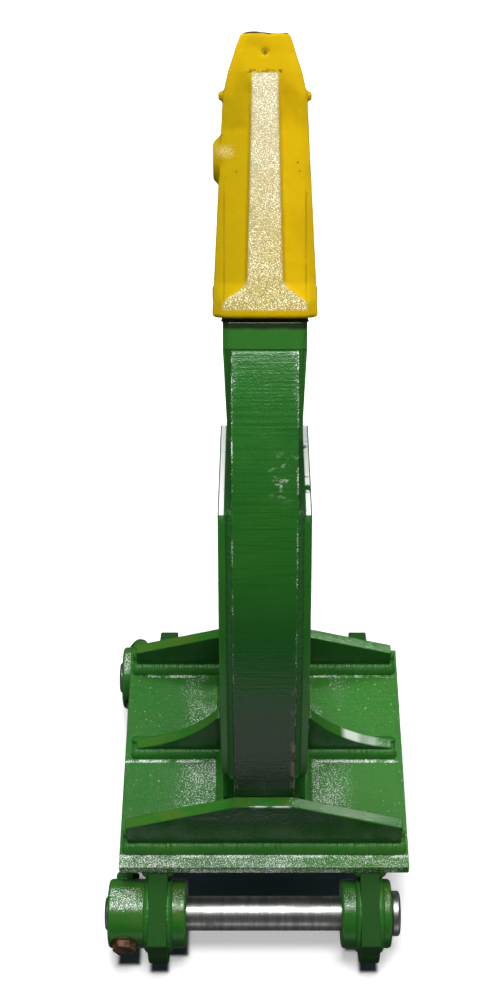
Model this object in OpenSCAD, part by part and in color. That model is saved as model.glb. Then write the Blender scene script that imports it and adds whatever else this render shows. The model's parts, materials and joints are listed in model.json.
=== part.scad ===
// Pin-on ripper for a small excavator, standing on its hanger ears with the tooth up.
// The origin is midway between the two hanger pins, on the plane of their axes.
// +X points along the pins towards their heads, +Y from the heel of the shank to its hollow side, +Z up.

/* [Base plate] */
// Width of the base plate, along the pins
plate_w = 296; // [270:1:340]
// Depth of the base plate, front to rear
plate_d = 268; // [255:1:300]
// Thickness of the base plate
plate_t = 12; // [8:1:20]
// Distance from the front pin axis back to the plate's front edge
plate_setback = 20; // [10:1:26]

/* [Hanger] */
// Distance between the two hanger pin axes
pin_spacing = 292; // [280:1:310]
// Diameter of the hanger pins
pin_d = 35; // [28:1:40]
// Radial clearance of a hanger pin in its bosses
pin_fit = 0.25; // [0.1:0.05:0.4]
// Diameter of a pin's head
pin_head_d = 46; // [42:1:52]
// Thickness of a pin's head
pin_head_t = 9.5; // [6:0.5:12]
// Length of pin that shows past the long boss
pin_tail = 4; // [2:1:10]
// Edge break on the pin ends
pin_chamfer = 2; // [1:0.5:3]
// Height of the plate's underside above the pin axes
plate_over_pin = 50; // [48:1:60]
// Thickness of a hanger ear
ear_t = 20; // [14:1:26]
// Distance of each ear's middle from the mid plane
ear_x = 108.5; // [106:0.5:112]
// Reach of the ear past the pin axis, front and rear
ear_reach = 48; // [45:1:54]
// Height of the slope at each end of an ear's top edge
ear_slope = 27; // [20:1:29]
// Height of the pin axes above the feet of the ears
ear_drop = 51; // [46:1:60]
// Length of the flat foot at the bottom of each round end
foot_l = 24; // [16:1:40]
// Height of the hollow between the feet of an ear
arch_h = 36; // [20:1:44]
// Outside diameter of the boss tubes
boss_d = 70; // [64:1:72]
// Clear gap between the inner ends of the bosses
boss_gap = 159; // [150:1:166]
// Distance from the mid plane to the outer end of a long boss
long_boss_end = 160; // [150:1:170]
// Distance from the mid plane to the outer end of a short boss
short_boss_end = 131; // [127:1:140]
// Edge break on the boss ends
boss_chamfer = 2; // [1:0.5:3]

/* [Retaining bolts] */
// Diameter of the bolt across each long boss
bolt_d = 14; // [10:1:15]
// Clearance of the bolt in its cross hole, all round
bolt_fit = 0.5; // [0.2:0.1:0.8]
// Distance from the long boss's end to the bolt axis
bolt_inset = 17; // [15:1:24]
// Width across the flats of the bolt head and nut
bolt_af = 21; // [18:1:24]
// Height of the bolt head
bolt_head_h = 8; // [6:0.5:10]
// Height of the nut
nut_h = 11; // [8:0.5:14]
// Length of bolt past the nut
bolt_tail = 5; // [2:0.5:6]
// Outside diameter of the washers
washer_d = 26; // [25:0.5:28]
// Thickness of the washers
washer_t = 2; // [1.5:0.5:3]

/* [Shank] */
// Thickness of the shank plate
shank_t = 60; // [50:1:70]
// Distance from the shank's foot to the plate's rear edge
shank_gap = 6; // [3:1:10]
// Distance from the plate's front edge to the shank's heel face
shank_setback = 35; // [32:1:36]
// Radius of the heel
heel_r = 540; // [500:5:600]
// Height on the plate at which the heel starts to curve back
heel_start = 100; // [90:1:130]
// Lean of the heel at the end of the shank, in degrees
heel_lean = 50; // [46:1:52]
// Depth of the shank at its end
shank_end = 120; // [114:1:126]
// Depth of the hollow in the rear edge, from its chord
shank_hollow = 31; // [15:1:40]
// Lean of the nose and tooth, in degrees
nose_lean = 38; // [34:1:42]

/* [Cheek plates] */
// Thickness of a cheek plate
cheek_t = 12; // [8:1:16]
// Distance of the cheek's edges inside the shank's edges
cheek_setback = 7; // [5:0.5:10]
// Height of the cheek's front top corner on the plate
cheek_h = 402; // [370:1:420]
// Fall of the cheek's top edge to the rear, in degrees
cheek_fall = 17; // [8:1:24]
// Radius of the relief at the foot of the cheek's front edge
relief_r = 34; // [26:1:40]
// Height of the relief's centre on the plate
relief_z = 80; // [70:1:90]

/* [Gussets] */
// Thickness of the gussets
gusset_t = 12; // [8:1:16]
// Distance of the front and rear gussets' ends from the plate's sides
gusset_inset = 8; // [4:1:14]
// Height of the front gusset at the shank
front_gusset_h = 82; // [75:1:88]
// Height of the front gusset at its ends
front_end_h = 39; // [25:1:50]
// Length of the level top of the front gusset
front_flat = 58; // [40:1:66]
// Distance from the plate's front edge to the mid gussets
mid_gusset_y = 135; // [120:1:150]
// Height of a mid gusset at the cheek
mid_gusset_h = 68; // [55:1:80]
// Height of a mid gusset at its outer end
mid_end_h = 9; // [6:1:16]
// Length of the level top of a mid gusset beside the cheek
mid_flat = 7; // [3:1:12]
// Depth of the hollow in a mid gusset's top edge, from its chord
mid_hollow = 11; // [6:1:14]
// Distance of the mid gussets' ends from the plate's sides
mid_inset = 12; // [6:1:20]
// Distance from the plate's rear edge to the rear gussets
rear_gusset_gap = 13; // [10:1:20]
// Height of a rear gusset at the cheek
rear_gusset_h = 62; // [50:1:75]
// Height of a rear gusset at its outer end
rear_end_h = 29; // [20:1:45]

/* [Adapter] */
// Width of the adapter's straps across the shank
strap_w = 74; // [70:1:78]
// Distance from the cheeks' top edges up to the straps
strap_gap = 25; // [12:1:40]
// Depth of the straps at their lower end
strap_end = 56; // [40:1:80]
// Thickness left at a strap's lower end
strap_tip = 3.5; // [2.5:0.5:5]
// Length of the collar above the shank
collar_l = 25; // [20:1:32]
// Depth of the collar
collar_d = 112; // [106:1:116]
// Edge break round the collar
collar_break = 5; // [2:0.5:8]
// Length of the nose inside the tooth
nose_l = 124; // [100:1:134]
// Width of the nose's end
nose_tip_w = 40; // [30:1:50]
// Depth of the nose's end
nose_tip_d = 30; // [20:1:40]

/* [Tooth] */
// Length of the tooth along its axis
tooth_l = 243; // [230:1:260]
// Width of the tooth at its mouth
tooth_w = 92.5; // [88:0.5:96]
// Depth of the tooth at its mouth
tooth_d = 124; // [122:1:130]
// Taper of the tooth's heel face from the axis, in degrees
tooth_taper = 12; // [11:0.2:12.6]
// Width of the cutting edge
edge_w = 42; // [32:1:48]
// Width of the tooth where the blade meets the body
blade_w = 65; // [58:1:69]
// Length of the blade, from the cutting edge
blade_l = 34; // [28:1:42]
// Width of the tooth at the side nubs
shoulder_w = 74; // [70:1:80]
// Distance from the cutting edge to the side nubs
nub_u = 54; // [48:1:60]
// Width of the rib's top where it leaves the blade
rib_top_w = 21; // [16:1:26]
// Width of the rib's top before it flares
rib_low_w = 30; // [26:1:36]
// Width of the rib's top at the mouth
rib_mouth_w = 65; // [58:1:68]
// Depth of the flats below the rib's top
rib_h = 8; // [5:0.5:8.5]
// Width of the bevel along the tooth's edges
edge_bevel = 7; // [4:0.5:9]
// Gap between the collar and the mouth
mouth_gap = 3; // [2:0.5:5]
// Wall of the socket at the mouth
socket_wall = 9; // [7:0.5:10]
// Clearance of the nose in the socket
nose_fit = 0.6; // [0.3:0.1:0.9]
// Diameter of the tooth pin
tooth_pin_d = 14; // [10:1:16]
// Distance from the mouth to the tooth pin
tooth_pin_u = 16; // [14:1:22]
// Length of tooth pin that shows at each side
tooth_pin_tail = 1.5; // [0.5:0.5:3]
// Clearance of the tooth pin, all round
tooth_pin_fit = 0.3; // [0.1:0.1:0.5]
// Diameter of the round pad on the tooth's left side
pad_d = 44; // [36:1:48]
// Height of that pad
pad_h = 6; // [4:0.5:8]
// Distance from the cutting edge to the pad's middle
pad_u = 110; // [100:1:120]
// Diameter of the side nubs
nub_d = 11; // [8:1:13]
// Height of the side nubs
nub_h = 4; // [2:0.5:5]
// Diameter of the dimple in the blade
dimple_d = 7; // [4:0.5:9]

/* [Welds] */
// Leg of the fillet welds on the base plate
weld_leg = 10; // [6:0.5:12]
// Leg of the fillet welds round the gussets' ends
end_weld = 4; // [2:0.5:6]
// Length of the ears' welds in front of the base plate
ear_weld_l = 5; // [2:0.5:8]
// Leg of the fillet welds along the cheek plates
cheek_weld = 6; // [4:0.5:7]
// Leg of the fillet welds round the bosses
boss_weld = 5; // [3:0.5:6]

/* [Hidden] */
$fn = 96;
green = "#1f7a35";
yellow = "#e0b411";
steel = "#b9bcbf";
rust = "#6b4a32";

// Height of a mid gusset's end above its weld
mid_weld_step = 1;

// Small overlap for cuts that must break through a face
eps = 0.5;

plate_z = plate_over_pin;
top_z = plate_z + plate_t;
plate_front = -pin_spacing / 2 + plate_setback;
plate_rear = plate_front + plate_d;
front_pin_y = -pin_spacing / 2;
rear_pin_y = pin_spacing / 2;
pin_ys = [front_pin_y, rear_pin_y];

shank_base = plate_d - shank_setback - shank_gap;
shank_front = plate_front + shank_setback;
shank_rear = shank_front + shank_base;
shank_side = shank_t / 2;
cheek_side = shank_side + cheek_t;

// Centre of the heel arc, and the heel corner at the end of the shank
heel_c = [shank_front + heel_r, top_z + heel_start];
heel_end = heel_c + heel_r * [-cos(heel_lean), sin(heel_lean)];
// Unit vectors of the nose in the side view: along its axis, and across it to the hollow side
nose_dir = [sin(nose_lean), cos(nose_lean)];
nose_across = [cos(nose_lean), -sin(nose_lean)];
hollow_end = heel_end + shank_end * nose_across;
nose_root = heel_end + shank_end / 2 * nose_across;

// Circle of the rear edge: its chord runs from the base to the end of the shank
rear_base = [shank_rear, top_z];
rear_chord = hollow_end - rear_base;
rear_half = norm(rear_chord) / 2;
rear_r = (rear_half * rear_half + shank_hollow * shank_hollow) / (2 * shank_hollow);
rear_normal = [rear_chord[1], -rear_chord[0]] / norm(rear_chord);
rear_c = (rear_base + hollow_end) / 2 + rear_normal * (rear_r - shank_hollow);

front_gusset_y = shank_front - gusset_t;
mid_gusset_front = plate_front + mid_gusset_y;
rear_gusset_front = plate_rear - rear_gusset_gap - gusset_t;
gusset_end = plate_w / 2 - gusset_inset;
mid_end = plate_w / 2 - mid_inset;

// Mid gusset's hollow edge: a circle through both ends of the edge
mid_edge_a = [cheek_side + mid_flat, mid_gusset_h];
mid_edge_b = [mid_end, mid_end_h];
mid_chord = mid_edge_b - mid_edge_a;
mid_half = norm(mid_chord) / 2;
mid_r = (mid_half * mid_half + mid_hollow * mid_hollow) / (2 * mid_hollow);
mid_normal = [-mid_chord[1], mid_chord[0]] / norm(mid_chord);
mid_c = (mid_edge_a + mid_edge_b) / 2 + mid_normal * (mid_r - mid_hollow);

// Front edge of the cheek's foot, and its front top corner on the heel's inner line
cheek_foot = shank_front + cheek_setback + weld_leg;
cheek_rise = cheek_h - heel_start;
cheek_corner = [heel_c[0] - sqrt(pow(heel_r - cheek_setback, 2) - pow(cheek_rise, 2)), top_z + cheek_h];

// Length of the adapter's straps, down to their gap over the cheeks' top edges
cheek_dir = [cos(cheek_fall), -sin(cheek_fall)];
cheek_up = [sin(cheek_fall), cos(cheek_fall)];
strap_sink = strap_end / 2 * abs(nose_across * cheek_up);
strap_l = ((nose_root - cheek_corner) * cheek_up - strap_sink - strap_gap) / (nose_dir * cheek_up);

// Top of an ear's ends, the middle of their round lower halves, and the hollow between the feet
ear_shoulder = plate_z - ear_slope;
ear_round_z = sqrt(ear_reach * ear_reach - foot_l * foot_l / 4) - ear_drop;
arch_z = arch_h - ear_drop;
// Lead of an ear's top edge inside the plate's edge, and of its end edges inside the round ends
ear_lead = 2;
boss_fit = 0.2;
thread_fit = 0.2;

inner_boss = boss_gap / 2;
bolt_x = -long_boss_end + bolt_inset;
// Radius of the flats that the washers sit on, and their distance from the pin's axis
seat_room = 0.5;
seat_r = washer_d / 2 + seat_room;
seat_h = sqrt(boss_d * boss_d / 4 - seat_r * seat_r) - seat_room;
bolt_hole_d = bolt_d + 2 * bolt_fit;

// Stations of the tooth, from its mouth
shoulder_u = tooth_l - nub_u;
blade_u = tooth_l - blade_l;
flare_u = 15;
flare_l = 14;
crease_u = shoulder_u - 28;
// Depths of the tooth's flats and side walls below the heel face, at those stations
mouth_drop = 11;
mouth_out = 3.5;
mouth_in = 1.5;
flat_drop = 5;
crease_drop = 3.5;
crease_out = 2;
crease_in = 5;
shoulder_drop = 6;
blade_drop = 4;
lip_break = 2;
edge_break = 2.5;
edge_rib = edge_w / 6;
rib_draft = 3;
rib_swell = 1;
pad_sink = 3;

mouth_u = collar_l + mouth_gap;
nose_w = tooth_w - 2 * socket_wall - 2 * nose_fit;
nose_d = tooth_d - 2 * socket_wall - 2 * nose_fit;

// Profile drawn in the side view, with Y to the right and Z up, made a plate across X
module across(t, x = 0) {
    translate([x, 0, 0]) rotate([90, 0, 90]) linear_extrude(t, center = true) children();
}

// Profile drawn in the front view, with X to the right and Z up, made a plate from y to the rear
module along(t, y) {
    translate([0, y + t, 0]) rotate([90, 0, 0]) linear_extrude(t) children();
}

// Bar or ring section along X from x0 to x1
module bar(d, x0, x1) {
    translate([x0, 0, 0]) rotate([0, 90, 0]) cylinder(d = d, h = x1 - x0);
}

// Bar along X with broken edges at both ends
module broken_bar(d, x0, x1, c) {
    translate([x0, 0, 0]) rotate([90, 0, 90]) rotate_extrude()
        polygon([[0, 0], [d / 2 - c, 0], [d / 2, c], [d / 2, x1 - x0 - c], [d / 2 - c, x1 - x0], [0, x1 - x0]]);
}

// Six-sided prism with its axis along Z
module hex(af, h) {
    cylinder(d = af / cos(30), h = h, $fn = 6);
}

// Local frame of the nose: X across, Y along the axis towards the tip, Z to the heel side
module nose_frame() {
    translate([0, nose_root[0], nose_root[1]]) rotate([90 - nose_lean, 0, 0]) children();
}

// Side profile of the shank, with both edges moved in by inset
module shank_profile(inset = 0) {
    cut_start = heel_end - (heel_end[0] - shank_front + eps) / cos(nose_lean) * nose_across;
    cut_end = hollow_end + rear_half * nose_across;
    difference() {
        union() {
            translate([shank_front + inset, top_z]) square([shank_base - inset, heel_start]);
            intersection() {
                translate(heel_c) circle(r = heel_r - inset, $fn = 360);
                polygon([[cut_start[0], heel_c[1]], cut_start, cut_end, [cut_end[0], heel_c[1]]]);
            }
        }
        translate(rear_c) circle(r = rear_r + inset, $fn = 360);
    }
}

// Side profile of a cheek plate
module cheek_profile() {
    difference() {
        intersection() {
            shank_profile(cheek_setback);
            polygon([
                [shank_front, top_z], cheek_corner - shank_base * cheek_dir,
                cheek_corner + 2 * shank_base * cheek_dir, [shank_front + 2 * shank_base, top_z]
            ]);
        }
        translate([shank_front, top_z + relief_z]) circle(r = relief_r);
        translate([shank_front, top_z]) square([cheek_foot - shank_front, relief_z]);
    }
}

module base_plate() {
    color(green) translate([-plate_w / 2, plate_front, plate_z]) cube([plate_w, plate_d, plate_t]);
}

module shank() {
    color(green) across(shank_t) shank_profile();
}

module cheek_plate(side) {
    color(green) across(cheek_t, side * (shank_side + cheek_t / 2)) cheek_profile();
}

module front_gusset() {
    color(green) along(gusset_t, front_gusset_y) polygon([
        [-gusset_end, top_z], [-gusset_end, top_z + front_end_h],
        [-front_flat / 2, top_z + front_gusset_h], [front_flat / 2, top_z + front_gusset_h],
        [gusset_end, top_z + front_end_h], [gusset_end, top_z]
    ]);
}

// Right mid gusset: level beside the cheek, then hollow down to its outer end
module mid_gusset() {
    color(green) along(gusset_t, mid_gusset_front) translate([0, top_z]) difference() {
        polygon([[cheek_side, 0], [cheek_side, mid_gusset_h], mid_edge_a, mid_edge_b, [mid_end, 0]]);
        translate(mid_c) circle(r = mid_r, $fn = 180);
    }
}

// Right rear gusset: straight slope from the cheek to its outer end
module rear_gusset() {
    color(green) along(gusset_t, rear_gusset_front) translate([0, top_z]) polygon([
        [cheek_side, 0], [cheek_side, rear_gusset_h], [gusset_end, rear_end_h], [gusset_end, 0]
    ]);
}

// Hanger ear: a round end under each pin with a flat foot, a hollow between the feet, both boss holes
module ear(side) {
    x = side * ear_x;
    front_end = front_pin_y - ear_reach;
    rear_end = rear_pin_y + ear_reach;
    color(green) difference() {
        union() {
            across(ear_t, x) polygon([
                [front_end + ear_lead, ear_round_z], [front_end, ear_shoulder],
                [plate_front + ear_lead, plate_z], [plate_rear - ear_lead, plate_z],
                [rear_end, ear_shoulder], [rear_end - ear_lead, ear_round_z],
                [rear_pin_y, ear_round_z], [rear_pin_y, arch_z], [front_pin_y, arch_z], [front_pin_y, ear_round_z]
            ]);
            for (y = pin_ys) across(ear_t, x) intersection() {
                translate([y, ear_round_z]) circle(r = ear_reach);
                translate([y - ear_reach, -ear_drop]) square([2 * ear_reach, ear_drop + ear_shoulder]);
            }
        }
        for (y = pin_ys) translate([0, y, 0]) bar(boss_d + 2 * boss_fit, x - ear_t, x + ear_t);
    }
}

// Place of the retaining bolt through the long boss at y: Z of the children points to the front
module at_bolt(y) {
    translate([bolt_x, y, 0]) rotate([90, 0, 0]) children();
}

// Cross hole of the retaining bolt, through a boss or a pin
module bolt_hole() {
    at_bolt(0) cylinder(d = bolt_hole_d, h = 2 * boss_d, center = true);
}

module long_boss(y) {
    color(green) translate([0, y, 0]) difference() {
        broken_bar(boss_d, -long_boss_end, -inner_boss, boss_chamfer);
        bar(pin_d + 2 * pin_fit, -long_boss_end - eps, -inner_boss + eps);
        bolt_hole();
        for (flip = [0, 180]) at_bolt(0) rotate([flip, 0, 0]) translate([0, 0, seat_h])
            cylinder(r = seat_r, h = boss_d);
    }
}

module short_boss(y) {
    color(green) translate([0, y, 0]) difference() {
        broken_bar(boss_d, inner_boss, short_boss_end, boss_chamfer);
        bar(pin_d + 2 * pin_fit, inner_boss - eps, short_boss_end + eps);
    }
}

// Hanger pin: a bar from the tail to the short boss, and a head against that boss
module hanger_pin(y) {
    color(steel) translate([0, y, 0]) difference() {
        union() {
            broken_bar(pin_d, -long_boss_end - pin_tail, short_boss_end + pin_chamfer, pin_chamfer);
            broken_bar(pin_head_d, short_boss_end, short_boss_end + pin_head_t, pin_chamfer);
        }
        bolt_hole();
    }
}

// Retaining bolt: its head in front of the long boss, its end behind
module bolt(y) {
    top = seat_h + washer_t;
    tail = top + nut_h + bolt_tail;
    color(rust) at_bolt(y) {
        translate([0, 0, top]) hex(bolt_af, bolt_head_h);
        translate([0, 0, -tail]) cylinder(d = bolt_d, h = top + tail);
    }
}

module nut(y) {
    color(rust) at_bolt(y) translate([0, 0, -seat_h - washer_t - nut_h]) difference() {
        hex(bolt_af, nut_h);
        translate([0, 0, -eps]) cylinder(d = bolt_d + thread_fit, h = nut_h + 2 * eps);
    }
}

// One washer under the bolt head and one under the nut
module washers(y) {
    color(rust) at_bolt(y) for (z = [seat_h, -seat_h - washer_t]) translate([0, 0, z]) difference() {
        cylinder(d = washer_d, h = washer_t);
        translate([0, 0, -eps]) cylinder(d = bolt_hole_d, h = washer_t + 2 * eps);
    }
}

// Block along the nose from u0 to u1 that tapers from w0 by d0 to w1 by d1
module taper_block(u0, u1, w0, d0, w1, d1) {
    intersection() {
        linear_extrude(2 * tooth_d, center = true) polygon([
            [-w0 / 2, u0], [w0 / 2, u0], [w1 / 2, u1], [-w1 / 2, u1]
        ]);
        rotate([90, 0, 90]) linear_extrude(2 * tooth_w, center = true) polygon([
            [u0, -d0 / 2], [u0, d0 / 2], [u1, d1 / 2], [u1, -d1 / 2]
        ]);
    }
}

// Rectangle w by d with its corners cut off
module cut_corners(w, d, c) {
    polygon([
        [w / 2 - c, -d / 2], [w / 2, c - d / 2], [w / 2, d / 2 - c], [w / 2 - c, d / 2],
        [c - w / 2, d / 2], [-w / 2, d / 2 - c], [-w / 2, c - d / 2], [c - w / 2, -d / 2]
    ]);
}

// Hole for the tooth pin, in the frame of the nose
module tooth_pin_hole() {
    translate([0, mouth_u + tooth_pin_u, 0])
        bar(tooth_pin_d + 2 * tooth_pin_fit, -tooth_w, tooth_w);
}

// Adapter: two straps on the sides of the shank, a collar and the nose
module tooth_adapter() {
    strap_d = collar_d - 2 * collar_break;
    color(green) nose_frame() difference() {
        union() {
            difference() {
                taper_block(0, -strap_l, strap_w, strap_d, shank_t + 2 * strap_tip, strap_end);
                translate([-shank_t / 2, -strap_l - eps, -tooth_d]) cube([shank_t, strap_l + eps, 2 * tooth_d]);
            }
            rotate([-90, 0, 0]) linear_extrude(collar_l) cut_corners(strap_w, collar_d, collar_break);
            taper_block(collar_l, collar_l + nose_l, nose_w, nose_d, nose_tip_w, nose_tip_d);
        }
        tooth_pin_hole();
    }
}

// Half width of the tooth, u from its mouth: slow taper to the shoulder, quick taper to the blade
function tooth_half(u) = lookup(u, [
    [0, tooth_w / 2], [shoulder_u, shoulder_w / 2], [blade_u, blade_w / 2], [tooth_l, edge_w / 2]
]);

// Half depth of the tooth at its rib or blade, u from its mouth
function heel_half(u) = tooth_d / 2 - u * tan(tooth_taper);

// Ring of the tooth's surface. drop is the side wall's edge below the heel face, out and in are the flats'
// depths at the bevel and at the rib, and top is the rib's half width. shrink draws the whole ring in.
function tooth_ring(u, drop, out, in, top, shrink = 0) =
    let (w = tooth_half(u) - shrink, z = heel_half(u) - shrink)
    let (brow = w - min(edge_bevel, w / 3))
    let (foot = min(top + rib_draft, (top + brow) / 2))
    let (heel = [[w, z - drop], [brow, z - out], [foot, z - in], [top, z]])
    let (half = concat(heel, [for (i = [3:-1:0]) [-heel[i][0], heel[i][1]]]))
    [for (p = half) [p[0], u, p[1]], for (i = [7:-1:0]) [half[i][0], u, -half[i][1]]];

// Solid through rings that each have the same number of points
module loft(rings) {
    n = len(rings[0]);
    last = (len(rings) - 1) * n;
    walls = [
        for (r = [0:len(rings) - 2]) for (i = [0:n - 1])
            let (a = r * n + i, b = r * n + (i + 1) % n) each [[a, b, b + n], [a, b + n, a + n]]
    ];
    caps = [[for (i = [n - 1:-1:0]) i], [for (i = [0:n - 1]) last + i]];
    polyhedron([for (ring = rings) each ring], concat(walls, caps));
}

// Rock tooth: cast body with a rib and recessed flats on both faces, a chisel blade and a socket
module tooth() {
    side = tooth_half(tooth_l - pad_u);
    color(yellow) nose_frame() translate([0, mouth_u, 0]) difference() {
        union() {
            loft([
                tooth_ring(0, mouth_drop, mouth_out, mouth_in, rib_mouth_w / 2, lip_break),
                tooth_ring(lip_break, mouth_drop, mouth_out, mouth_in, rib_mouth_w / 2),
                tooth_ring(flare_u, mouth_drop, mouth_out, mouth_in, rib_mouth_w / 2),
                tooth_ring(flare_u + flare_l, rib_h + flat_drop, rib_h, rib_h, rib_low_w / 2),
                tooth_ring(crease_u, rib_h + crease_drop, rib_h, rib_h, rib_top_w / 2 + rib_swell),
                tooth_ring(shoulder_u, shoulder_drop, crease_out, crease_in, rib_top_w / 2),
                tooth_ring(blade_u, blade_drop, 0, 0, rib_top_w / 2),
                tooth_ring(tooth_l - edge_break, blade_drop, 0, 0, edge_rib),
                tooth_ring(tooth_l, blade_drop, 0, 0, edge_rib, edge_break)
            ]);
            translate([pad_sink - side, tooth_l - pad_u, 0]) rotate([0, -90, 0])
                cylinder(d1 = pad_d + 2 * pad_sink, d2 = pad_d - 2 * pad_h, h = pad_h + pad_sink);
            for (x = [-1, 1]) translate([x * shoulder_w / 2, shoulder_u, 0]) rotate([0, x * 90, 0])
                translate([0, 0, -pad_sink]) cylinder(d1 = nub_d, d2 = nub_d - nub_h, h = nub_h + pad_sink);
        }
        translate([0, -mouth_u, 0]) {
            taper_block(
                mouth_u - eps, collar_l + nose_l + nose_fit,
                nose_w + 2 * nose_fit, nose_d + 2 * nose_fit,
                nose_tip_w + 2 * nose_fit, nose_tip_d + 2 * nose_fit
            );
            tooth_pin_hole();
        }
        for (z = [-1, 1]) translate([0, blade_u + blade_l / 2, z * heel_half(blade_u + blade_l / 2)])
            sphere(d = dimple_d, $fn = 32);
    }
}

module tooth_pin() {
    reach = tooth_half(tooth_pin_u) + tooth_pin_tail;
    color(steel) nose_frame() translate([0, mouth_u + tooth_pin_u, 0])
        broken_bar(tooth_pin_d, -reach, reach, tooth_pin_tail / 2);
}

// Fillet round the foot of an upright box on the base plate, with its own leg on each side
module skirt(x0, x1, y0, y1, h, left, right, front, rear) {
    intersection() {
        along(2 * plate_d, -plate_d) translate([0, top_z]) polygon([[x0 - left, 0], [x1 + right, 0], [x1, h], [x0, h]]);
        across(2 * plate_w) translate([0, top_z]) polygon([[y0 - front, 0], [y1 + rear, 0], [y1, h], [y0, h]]);
    }
}

// Fillet welds of the gussets, cheeks and shank on the base plate
module base_welds() {
    end_leg = min(end_weld, gusset_inset);
    mid_leg = min(weld_leg, mid_end_h - mid_weld_step);
    cheek_rear = shank_rear - cheek_setback;
    rear_leg = min(weld_leg, plate_rear - shank_rear);
    color(green) difference() {
        union() {
            skirt(-gusset_end, gusset_end, front_gusset_y, shank_front, weld_leg,
                end_leg, end_leg, weld_leg, weld_leg);
            for (flip = [0, 1]) mirror([flip, 0, 0]) {
                skirt(cheek_side, mid_end, mid_gusset_front, mid_gusset_front + gusset_t, mid_leg,
                    0, end_weld, mid_leg, mid_leg);
                skirt(cheek_side, gusset_end, rear_gusset_front, rear_gusset_front + gusset_t, weld_leg,
                    0, end_leg, weld_leg, weld_leg);
            }
            skirt(-cheek_side, cheek_side, cheek_foot, cheek_rear, weld_leg,
                weld_leg, weld_leg, weld_leg, weld_leg);
            skirt(-shank_side, shank_side, shank_front, shank_rear, weld_leg,
                weld_leg, weld_leg, 0, rear_leg);
        }
        shank();
        front_gusset();
        for (flip = [0, 1]) mirror([flip, 0, 0]) {
            cheek_plate(1);
            mid_gusset();
            rear_gusset();
        }
    }
}

// Fillet welds along the front and rear edges of the cheek plates
module cheek_welds() {
    leg = min(cheek_weld, cheek_setback - eps);
    front_r = heel_r - cheek_setback;
    side_r = rear_r + cheek_setback;
    color(green) for (flip = [0, 1]) mirror([flip, 0, 0]) difference() {
        intersection() {
            union() {
                translate([shank_side, heel_c[0], heel_c[1]]) rotate([90, 0, 90])
                    rotate([0, 0, 180 - heel_lean]) rotate_extrude(angle = heel_lean, $fn = 360)
                        polygon([[front_r, 0], [front_r + leg, 0], [front_r, leg]]);
                translate([0, 0, top_z]) linear_extrude(heel_start) polygon([
                    [shank_side, shank_front + cheek_setback], [shank_side + leg, shank_front + cheek_setback],
                    [shank_side, shank_front + cheek_setback - leg]
                ]);
                translate([shank_side, rear_c[0], rear_c[1]]) rotate([90, 0, 90])
                    rotate([0, 0, 90]) rotate_extrude(angle = 180, $fn = 360)
                        polygon([[side_r, 0], [side_r - leg, 0], [side_r, leg]]);
            }
            across(2 * plate_w) polygon([
                [shank_front, top_z + weld_leg], cheek_corner - shank_base * cheek_dir,
                cheek_corner + 2 * shank_base * cheek_dir, [shank_front + 2 * shank_base, top_z + weld_leg]
            ]);
        }
        across(2 * plate_w) {
            translate([shank_front, top_z + relief_z]) circle(r = relief_r);
            translate([shank_front, top_z]) square([cheek_foot - shank_front, relief_z]);
        }
    }
}

// Fillet welds between the ears and the underside of the base plate
module ear_welds() {
    color(green) for (ear_side = [-1, 1]) for (face = [-1, 1])
        along(plate_d + 2 * ear_weld_l, plate_front - ear_weld_l)
            translate([ear_side * ear_x + face * ear_t / 2, plate_z])
                polygon([[0, 0], [face * weld_leg, 0], [0, -weld_leg]]);
}

// Fillet welds round the bosses, on both faces of each ear
module boss_welds() {
    color(green) for (y = pin_ys) for (ear_side = [-1, 1]) for (face = [-1, 1])
        translate([ear_side * ear_x + face * ear_t / 2, y, 0]) rotate([0, face * 90, 0]) rotate_extrude()
            polygon([[boss_d / 2, 0], [boss_d / 2 + boss_weld, 0], [boss_d / 2, boss_weld]]);
}

// Fillet welds round the straps of the adapter, on the sides of the shank
module adapter_welds() {
    strap_d = collar_d - 2 * collar_break;
    rise = (strap_d - strap_end) / 2;
    edge = norm([strap_l, rise]);
    leg = strap_tip;
    color(green) nose_frame() for (flip = [0, 1]) mirror([flip, 0, 0]) {
        for (turn = [0, 1]) mirror([0, 0, turn])
            translate([shank_side, -strap_l, strap_end / 2]) rotate([atan2(rise, strap_l), 0, 0])
                rotate([-90, 0, 0]) linear_extrude(edge) polygon([[0, 0], [leg, 0], [0, -leg]]);
        translate([shank_side, -strap_l, 0]) linear_extrude(strap_end, center = true)
            polygon([[0, 0], [leg, 0], [0, -leg]]);
    }
}

base_plate();
shank();
cheek_plate(-1);  // left_cheek_plate
cheek_plate(1);  // right_cheek_plate
front_gusset();
mirror([1, 0, 0]) mid_gusset();  // left_mid_gusset
mid_gusset();  // right_mid_gusset
mirror([1, 0, 0]) rear_gusset();  // left_rear_gusset
rear_gusset();  // right_rear_gusset
ear(-1);  // left_ear
ear(1);  // right_ear
long_boss(front_pin_y);  // front_left_boss
short_boss(front_pin_y);  // front_right_boss
long_boss(rear_pin_y);  // rear_left_boss
short_boss(rear_pin_y);  // rear_right_boss
hanger_pin(front_pin_y);  // front_pin
hanger_pin(rear_pin_y);  // rear_pin
bolt(front_pin_y);  // front_bolt
bolt(rear_pin_y);  // rear_bolt
nut(front_pin_y);  // front_nut
nut(rear_pin_y);  // rear_nut
washers(front_pin_y);  // front_washers
washers(rear_pin_y);  // rear_washers
tooth_adapter();
tooth();
tooth_pin();
base_welds();
cheek_welds();
ear_welds();
boss_welds();
adapter_welds();
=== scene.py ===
# %% [markdown]
# # A pin-on excavator ripper
# The object is a welded ripper that stands on its hanger ears with the tooth up. Its plates, pins, tooth
# and welds come from the CAD frame, each as its own object, in metres. This lesson gives them soft edges,
# real weld beads and painted, worn finishes, and sets a camera and soft lights round them.

# %% Load the frame
import json
import math

import bmesh
import bpy
import numpy as np
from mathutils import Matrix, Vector, noise


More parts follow.
